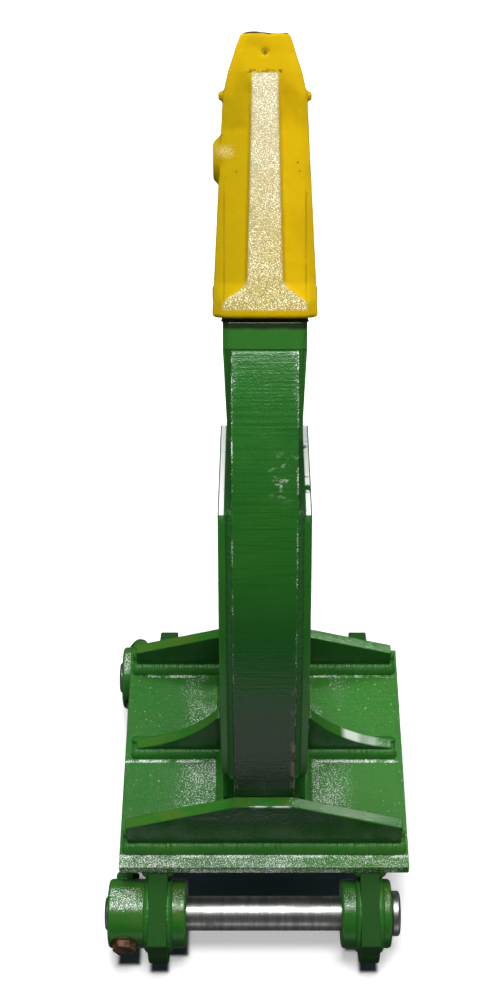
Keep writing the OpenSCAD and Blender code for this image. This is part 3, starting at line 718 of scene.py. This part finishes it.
def soften(name, material, width):
    """Copy a CAD node and round its sharp edges."""
    work = clean_copy(name)
    sharp = [edge for edge in work.edges if edge.is_manifold and edge.calc_face_angle() > SHARP_ANGLE]
    bmesh.ops.bevel(work, geom=sharp, offset=width, segments=2, profile=0.5, affect="EDGES")
    for face in work.faces:
        face.smooth = True
    piece = to_piece(work, name + "_look")
    piece.modifiers.new("even shading", "WEIGHTED_NORMAL").weight = FLAT_WEIGHT
    return adopt(settle(piece), material, name)


def finish_of(name):
    """The finish of a piece by the end of its name, or else by its slot."""
    own = [finish for ending, finish in PIECE_FINISH.items() if name.endswith(ending)]
    return own[0] if own else SLOT_FINISH[slot_of[name]]


plain_names = [name for name in slot_of if name != "tooth" and not name.endswith("_welds")]
for name in plain_names:
    usual_round = PLATE_ROUND if slot_of[name] == "green_paint" else FINE_ROUND
    soften(name, finish_of(name), EDGE_ROUND.get(name, usual_round))
print("softened pieces:", len(plain_names))

# %% [markdown]
# ## The casting
# The tooth is cast, so all its edges are blunt and its skin is uneven. Bevels would leave its faces too
# flat. Instead a fine even mesh is laid over the CAD solid, smoothed until the edges round over, and
# roughened, most of all at the worn tip.

# %% Cast the tooth
VOXEL = 0.0015
BLUNTING = 3
SKIN = 0.00020
SKIN_SCALE = 110
TIP_WEAR = 0.0016
DENT_SCALE = 75
WORN_SHARE = 0.08


def roughen(mesh):
    """Push the points of the tooth in and out along their normals."""
    count = len(mesh.vertices)
    spots = np.empty(count * 3, np.float32)
    outward = np.empty(count * 3, np.float32)
    mesh.vertices.foreach_get("co", spots)
    mesh.vertex_normals.foreach_get("vector", outward)
    spots = spots.reshape(-1, 3)
    reach = (np.array(tooth_tip) - spots) @ np.array(tooth_way)
    worn = np.clip(1 - reach / tooth_length / WORN_SHARE, 0, 1)
    skin = np.array([noise.noise(Vector(spot) * SKIN_SCALE) for spot in spots])
    dents = np.array([noise.noise(Vector(spot) * DENT_SCALE) for spot in spots])
    depth = SKIN * skin + TIP_WEAR * worn * dents
    mesh.vertices.foreach_set("co", (spots + outward.reshape(-1, 3) * depth[:, None]).ravel())


def cast_tooth():
    piece = to_piece(clean_copy("tooth"), "tooth_look")
    even = piece.modifiers.new("even mesh", "REMESH")
    even.mode = "VOXEL"
    even.voxel_size = VOXEL
    blunt = piece.modifiers.new("blunt edges", "SMOOTH")
    blunt.factor = 0.5
    blunt.iterations = BLUNTING
    settle(piece)
    roughen(piece.data)
    for face in piece.data.polygons:
        face.use_smooth = True
    return adopt(piece, yellow, "tooth")


tooth = cast_tooth()
print("tooth faces:", len(tooth.data.polygons))

# %% [markdown]
# ## Weld beads
# A weld is laid as a row of overlapping puddles along a seam. A bump on a plain fillet would shade like one,
# but its outline would stay straight. So Geometry Nodes lay one flattened ball every few millimetres along
# a seam, whose points carry the way in which the bead bulges and the length of its leg.

# %% Make the weld generator
PUDDLE_SINK = 0.40
PUDDLE_SHAPE = (0.50, 0.80)
PUDDLE_OVERLAP = 2.2
PUDDLE_JITTER = 0.07
PUDDLE_SEGMENTS = 12
PUDDLE_RINGS = 8


def weld_generator():
    group = bpy.data.node_groups.new("weld beads", "GeometryNodeTree")
    face = group.interface
    face.new_socket("Seams", in_out="INPUT", socket_type="NodeSocketGeometry")
    face.new_socket("Pitch", in_out="INPUT", socket_type="NodeSocketFloat")
    face.new_socket("Seed", in_out="INPUT", socket_type="NodeSocketInt")
    face.new_socket("Material", in_out="INPUT", socket_type="NodeSocketMaterial")
    face.new_socket("Beads", in_out="OUTPUT", socket_type="NodeSocketGeometry")
    entry = group.nodes.new("NodeGroupInput").outputs
    leave = group.nodes.new("NodeGroupOutput").inputs

    def node(kind, settings=None, inputs=None, output=0):
        made = group.nodes.new(kind)
        for key, value in (settings or {}).items():
            setattr(made, key, value)
        for key, value in (inputs or {}).items():
            if isinstance(value, bpy.types.NodeSocket):
                group.links.new(value, made.inputs[key])
            else:
                made.inputs[key].default_value = value
        return made.outputs[output]

    def maths(operation, a, b):
        return node("ShaderNodeMath", {"operation": operation}, {0: a, 1: b})

    curve = node("GeometryNodeMeshToCurve", inputs={"Mesh": entry["Seams"]})
    points = node("GeometryNodeResampleCurve", {"mode": "LENGTH"}, {
        "Curve": curve, "Length": entry["Pitch"]})
    bulge = node("GeometryNodeInputNamedAttribute", {"data_type": "FLOAT_VECTOR"}, {"Name": "bulge"})
    leg = node("GeometryNodeInputNamedAttribute", {"data_type": "FLOAT"}, {"Name": "leg"})
    sink = node("ShaderNodeVectorMath", {"operation": "SCALE"}, {
        0: bulge, "Scale": maths("MULTIPLY", leg, PUDDLE_SINK)})
    tangent = node("GeometryNodeInputTangent")
    turn = node("FunctionNodeAlignRotationToVector", {"axis": "Z"}, {"Vector": tangent})
    turn = node("FunctionNodeAlignRotationToVector", {"axis": "X", "pivot_axis": "Z"}, {
        "Rotation": turn, "Vector": bulge})
    moved = node("GeometryNodeSetPosition", inputs={"Geometry": points, "Offset": sink})
    change = node("FunctionNodeRandomValue", {"data_type": "FLOAT"}, {
        2: 1 - PUDDLE_JITTER, 3: 1 + PUDDLE_JITTER, "Seed": entry["Seed"]}, output=1)
    size = maths("MULTIPLY", leg, change)
    scale = node("ShaderNodeCombineXYZ", inputs={
        "X": maths("MULTIPLY", size, PUDDLE_SHAPE[0]), "Y": maths("MULTIPLY", size, PUDDLE_SHAPE[1]),
        "Z": maths("MULTIPLY", entry["Pitch"], PUDDLE_OVERLAP)})
    puddle = node("GeometryNodeMeshUVSphere", inputs={
        "Segments": PUDDLE_SEGMENTS, "Rings": PUDDLE_RINGS, "Radius": 1.0})
    row = node("GeometryNodeInstanceOnPoints", inputs={
        "Points": moved, "Instance": puddle, "Rotation": turn, "Scale": scale})
    solid = node("GeometryNodeRealizeInstances", inputs={"Geometry": row})
    smooth = node("GeometryNodeSetShadeSmooth", inputs={"Geometry": solid})
    painted = node("GeometryNodeSetMaterial", inputs={"Geometry": smooth, "Material": entry["Material"]})
    group.links.new(painted, leave["Beads"])
    return group


generator = weld_generator()
sockets = {item.name: item.identifier for item in generator.interface.items_tree}
print("weld generator:", len(generator.nodes), "nodes")

# %% [markdown]
# ## Seams
# Every seam is worked out from the boxes and outlines of the plates that it joins, so the beads follow the
# frame. Picking edges of the CAD welds by hand would break as soon as a plate moved. A seam is a line of
# points, with the way in which its bead bulges at each of them, and the bead's leg.

# %% Seams and their beads
X_AXIS, Y_AXIS, Z_AXIS = Vector((1, 0, 0)), Vector((0, 1, 0)), Vector((0, 0, 1))
PITCH = 0.0026
FINE_PITCH = 0.0024


def seam(points, bulge, leg):
    """One weld path: its points, the way its bead bulges at each of them, and its leg."""
    points = [Vector(point) for point in points]
    ways = bulge if isinstance(bulge, list) else [bulge] * len(points)
    return points, [way.normalized() for way in ways], leg


def lay_beads(name, seams, pitch, seed, finish=weld_green):
    """Lay beads along seams, in place of one CAD node of welds."""
    points = [point for path in seams for point in path[0]]
    ways = [way for path in seams for way in path[1]]
    legs = [path[2] for path in seams for _ in path[0]]
    edges = []
    start = 0
    for path in seams:
        edges += [(start + i, start + i + 1) for i in range(len(path[0]) - 1)]
        start += len(path[0])
    mesh = bpy.data.meshes.new(name + "_look")
    mesh.from_pydata(points, edges, [])
    mesh.attributes.new("bulge", "FLOAT_VECTOR", "POINT").data.foreach_set("vector", np.ravel(ways))
    mesh.attributes.new("leg", "FLOAT", "POINT").data.foreach_set("value", legs)
    piece = bpy.data.objects.new(name + "_look", mesh)
    scene.collection.objects.link(piece)
    beads = piece.modifiers.new("beads", "NODES")
    beads.node_group = generator
    beads[sockets["Pitch"]] = pitch
    beads[sockets["Seed"]] = seed
    beads[sockets["Material"]] = finish
    adopt(settle(piece), finish, name)
    print(name, "seams:", len(seams))


print("bead pitch:", PITCH, "and", FINE_PITCH)

# %% [markdown]
# The gussets are welded to the plate along both toes and round their outer ends, and up the cheeks. The
# cheeks are welded to the plate between the gussets.

# %% Weld the base plate
PLATE_LEG = 0.0095
MID_LEG = 0.008
END_LEG = 0.005
plate_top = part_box("base_plate")[1].z
cheek_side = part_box("right_cheek_plate")[1].x


def toe(x, start, stop, way, leg):
    """A seam along Y on the plate, at one x."""
    return seam([(x, start, plate_top), (x, stop, plate_top)], Z_AXIS + way, leg)


def gusset_seams(name, inner, leg):
    """Both long toes of a gusset on the plate, from inner to its outer end, and round that end."""
    low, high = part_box(name)
    outer = high.x if inner > 0 else low.x
    side = X_AXIS * (1 if inner > 0 else -1)
    front = seam([(inner, low.y, plate_top), (outer, low.y, plate_top)], Z_AXIS - Y_AXIS, leg)
    rear = seam([(inner, high.y, plate_top), (outer, high.y, plate_top)], Z_AXIS + Y_AXIS, leg)
    return [front, rear, toe(outer, low.y, high.y, side, END_LEG)]


def upright_seams(name, inner, side):
    """The two seams where a gusset meets the cheek, from the plate up."""
    low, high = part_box(name)
    ends = ((low.y, side - Y_AXIS), (high.y, side + Y_AXIS))
    return [seam([(inner, y, plate_top), (inner, y, high.z)], way, END_LEG) for y, way in ends]


front_low, front_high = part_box("front_gusset")
mid_low, mid_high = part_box("right_mid_gusset")
rear_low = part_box("right_rear_gusset")[0]
base_seams = []
for hand, sign in (("left", -1), ("right", 1)):
    inner, side = sign * cheek_side, X_AXIS * sign
    base_seams += gusset_seams("front_gusset", sign * shank_side, PLATE_LEG)
    base_seams += gusset_seams(hand + "_mid_gusset", inner, MID_LEG)
    base_seams += gusset_seams(hand + "_rear_gusset", inner, PLATE_LEG)
    base_seams.append(toe(inner, front_high.y, mid_low.y, side, PLATE_LEG))
    base_seams.append(toe(inner, mid_high.y, rear_low.y, side, PLATE_LEG))
    base_seams += upright_seams(hand + "_mid_gusset", inner, side)
    base_seams += upright_seams(hand + "_rear_gusset", inner, side)
front_toe = [(-shank_side, front_low.y, plate_top), (shank_side, front_low.y, plate_top)]
base_seams.append(seam(front_toe, Z_AXIS - Y_AXIS, PLATE_LEG))
lay_beads("base_welds", base_seams, PITCH, seed=3)

# %% [markdown]
# The cheeks lie on the sides of the shank and are welded along their front and rear edges. Both edges are
# read from the outline of the CAD mesh on the shank's side, and a leaning middle line parts them.

# %% Weld the cheeks
CHEEK_LEG = 0.0058
ON_FACE = 1e-5
FOOT_BAND = 0.001


def outline_on(name, x):
    """The points of a CAD node that lie on the plane at x, as pairs of y and z."""
    points = [vertex.co for vertex in nodes[name].data.vertices]
    return {(round(point.y, 5), round(point.z, 5)) for point in points if abs(point.x - x) < ON_FACE}


def cheek_edge(name, sign, front):
    """The front or rear edge of a cheek on the shank's side, from the plate up."""
    low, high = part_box(name)
    inner = low.x if sign > 0 else high.x
    rim = outline_on(name, inner)
    foot = [y for y, z in rim if z < low.z + FOOT_BAND]
    head = max(rim, key=lambda point: point[1])
    lean = (head[0] - min(foot)) / (high.z - low.z)
    middle = (min(foot) + max(foot)) / 2
    chosen = sorted((z, y) for y, z in rim if (y < middle + lean * (z - low.z)) == front)
    way = Vector((sign, -1 if front else 1, 0))
    return seam([(inner, y, z) for z, y in chosen], way, CHEEK_LEG)


cheek_sides = (("left_cheek_plate", -1), ("right_cheek_plate", 1))
cheek_seams = [cheek_edge(name, sign, front) for name, sign in cheek_sides for front in (True, False)]
lay_beads("cheek_welds", cheek_seams, PITCH, seed=5, finish=seam_shade_green)

# %% [markdown]
# The ears hang below the plate, with a bead along each side, and every boss tube has a ring of weld on both
# faces of its ear. A closed ring repeats its first point.

# %% Weld the ears and bosses
EAR_LEG = 0.0075
BOSS_LEG = 0.0052
RING_POINTS = 60


def boss_ring(name, x, side):
    """A ring of weld round a boss tube, where it leaves the face of the ear at x."""
    low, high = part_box(name)
    middle = (low + high) / 2
    radius = (high.z - low.z) / 2
    turns = [2 * math.pi * i / RING_POINTS for i in range(RING_POINTS + 1)]
    spokes = [Y_AXIS * math.cos(turn) + Z_AXIS * math.sin(turn) for turn in turns]
    ring = [Vector((x, middle.y, middle.z)) + spoke * radius for spoke in spokes]
    return seam(ring, [spoke + side for spoke in spokes], BOSS_LEG)


ear_seams = []
boss_seams = []
plate_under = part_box("base_plate")[0].z
weld_low, weld_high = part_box("ear_welds")
for hand in ("left", "right"):
    ear_low, ear_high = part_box(hand + "_ear")
    for x, side in ((ear_low.x, -X_AXIS), (ear_high.x, X_AXIS)):
        run = [(x, weld_low.y + EAR_LEG, plate_under), (x, weld_high.y - EAR_LEG, plate_under)]
        ear_seams.append(seam(run, side - Z_AXIS, EAR_LEG))
        boss_seams += [boss_ring(f"{end}_{hand}_boss", x, side) for end in ("front", "rear")]
lay_beads("ear_welds", ear_seams, PITCH, seed=7, finish=ear_green)
lay_beads("boss_welds", boss_seams, FINE_PITCH, seed=9)

# %% [markdown]
# The straps of the tooth adapter lie on the shank's sides. The corners of a strap are the adapter's points
# on that side, taken in turn round their middle, and the bead runs round all but the upper edge.

# %% Weld the straps
STRAP_LEG = 0.0048


def strap_seam(sign):
    face_x = sign * shank_side
    corners = outline_on("tooth_adapter", face_x)
    centre = Vector((face_x, *np.mean(list(corners), axis=0)))
    around = sorted((Vector((face_x, y, z)) for y, z in corners),
                    key=lambda point: math.atan2(point.z - centre.z, point.y - centre.y) % (2 * math.pi))
    first = max(range(len(around)), key=lambda i: around[i].z + around[i - 1].z)
    path = around[first:] + around[:first]
    return seam(path, [(point - centre).normalized() + X_AXIS * sign for point in path], STRAP_LEG)


lay_beads("adapter_welds", [strap_seam(-1), strap_seam(1)], FINE_PITCH, seed=11)

# %% [markdown]
# ## Floor
# The ripper stands on white, with dark shade under its plate and its feet. Lamps could cast that shade, but
# then they would no longer suit the paint, so soft-edged dark boxes are painted on the floor. The floor is
# kept out of reflections and bounced light, because a dark yard would give none.

# %% Make the floor
FLOOR_SIZE = 8.0
FLOOR_WHITE = (0.9, 0.9, 0.9)
FLOOR_GLOW = (0.35, 0.35, 0.35)
SHADE_COLOUR = (0.022, 0.03, 0.032)
SHADE_GLOW = (0.003, 0.006, 0.007)
UNDER_PLATE = (-0.11, 0.11, -0.120, 0.08)
SIDE_SOFT = (0.004, 0.002)
FRONT_SOFT = 0.003
REAR_SOFT = 0.02
FEET_REAR = -0.08
UNDER_FEET = [(-0.118, -0.100, -0.188), (0.100, 0.118, -0.188), (-0.152, -0.130, -0.180),
              (-0.120, -0.080, -0.170), (0.086, 0.120, -0.164)]


def white_floor():
    finish = Finish("white_floor")
    x, y = finish.axis("X"), finish.axis("Y")

    def shaded_box(left, right, front, rear):
        from_left = finish.ramp(x, left - SIDE_SOFT[0], left + SIDE_SOFT[1])
        from_right = finish.ramp(x, right + SIDE_SOFT[0], right - SIDE_SOFT[1])
        from_front = finish.ramp(y, front - FRONT_SOFT, front + FRONT_SOFT)
        from_rear = finish.ramp(y, rear + REAR_SOFT, rear - REAR_SOFT)
        return from_left * from_right * from_front * from_rear

    shade = shaded_box(*UNDER_PLATE)
    for foot in UNDER_FEET:
        shade = finish.most(shade, shaded_box(*foot, FEET_REAR))
    glow = finish.mix(shade, FLOOR_GLOW, SHADE_GLOW)
    colour = finish.mix(shade, FLOOR_WHITE, SHADE_COLOUR)
    return finish.done(Base_Color=colour, Roughness=0.8, Emission_Color=glow, Emission_Strength=1.0)


half = FLOOR_SIZE / 2
floor_z = cad_box[0][2]
corners = [(x * half, y * half, floor_z) for x, y in ((-1, -1), (1, -1), (1, 1), (-1, 1))]
floor_mesh = bpy.data.meshes.new("floor")
floor_mesh.from_pydata(corners, [], [(0, 1, 2, 3)])
floor_mesh.materials.append(white_floor())
floor = bpy.data.objects.new("floor", floor_mesh)
floor.visible_glossy = False
floor.visible_diffuse = False
scene.collection.objects.link(floor)
print("floor height:", round(floor_z, 4))

# %% [markdown]
# ## Light
# Gloss paint shows two things at once: its colour, which needs broad light, and highlights, which need
# lamps in the right places. One lamp for both is hard to place. So the lamps named light act only on matt
# reflection, and those named shine or fade only on glossy reflection. A dim white sky fills the rest.

# %% Make the lights
SKY_STRENGTH = 0.06


def area_lamp(name, place, target, size, power, shine=False):
    lamp = bpy.data.lights.new(name, "AREA")
    lamp.shape = "RECTANGLE"
    lamp.size, lamp.size_y = size
    lamp.energy = power
    piece = bpy.data.objects.new(name, lamp)
    piece.location = place
    piece.rotation_euler = (Vector(target) - Vector(place)).to_track_quat("-Z", "Y").to_euler()
    piece.visible_camera = False
    piece.visible_diffuse = not shine
    piece.visible_glossy = shine
    scene.collection.objects.link(piece)


area_lamp("overhead_light", (0.1, -0.3, 3.0), (0, 0.1, 0.2), (1.0, 0.8), power=58)
area_lamp("back_light", (-0.3, 1.65, 3.2), (0, 0.0, 0.1), (1.0, 0.6), power=60)
area_lamp("front_light", (0.2, -2.0, 2.0), (0, 0.0, 0.3), (1.0, 0.6), power=12)
area_lamp("left_light", (-2.6, 0.4, 1.2), (0, 0.1, 0.3), (1.0, 1.0), power=18)
area_lamp("right_light", (2.6, 0.4, 1.2), (0, 0.1, 0.3), (1.0, 1.0), power=18)
area_lamp("pin_shine", (0.0, -0.1, 2.5), (0, -0.15, 0.0), (0.7, 0.35), power=20, shine=True)
area_lamp("pin_fade", (0.0, -0.75, 2.4), (0, -0.15, 0.0), (0.7, 0.5), power=2.5, shine=True)
area_lamp("rib_shine", (0.0, -0.35, 1.75), (0, 0.29, 0.65), (0.22, 0.22), power=2.0, shine=True)
area_lamp("plate_shine", (0.0, 1.35, 3.2), (0, 0.0, 0.06), (0.4, 0.3), power=5, shine=True)
area_lamp("edge_shine", (1.75, 1.4, 2.15), (0.1, 0.0, 0.1), (0.5, 0.4), power=14, shine=True)
area_lamp("ground_shine", (0.0, -0.6, -0.03), (0, -0.6, 1.0), (1.6, 0.7), power=1.5, shine=True)

world = bpy.data.worlds.new("studio")
world.use_nodes = True
sky = world.node_tree.nodes["Background"].inputs
sky["Color"].default_value = (1, 1, 1, 1)
sky["Strength"].default_value = SKY_STRENGTH
scene.world = world
scene.view_settings.view_transform = "Standard"

# %% [markdown]
# ## Sizes
# The dressed pieces should fill the same box as the CAD solids.
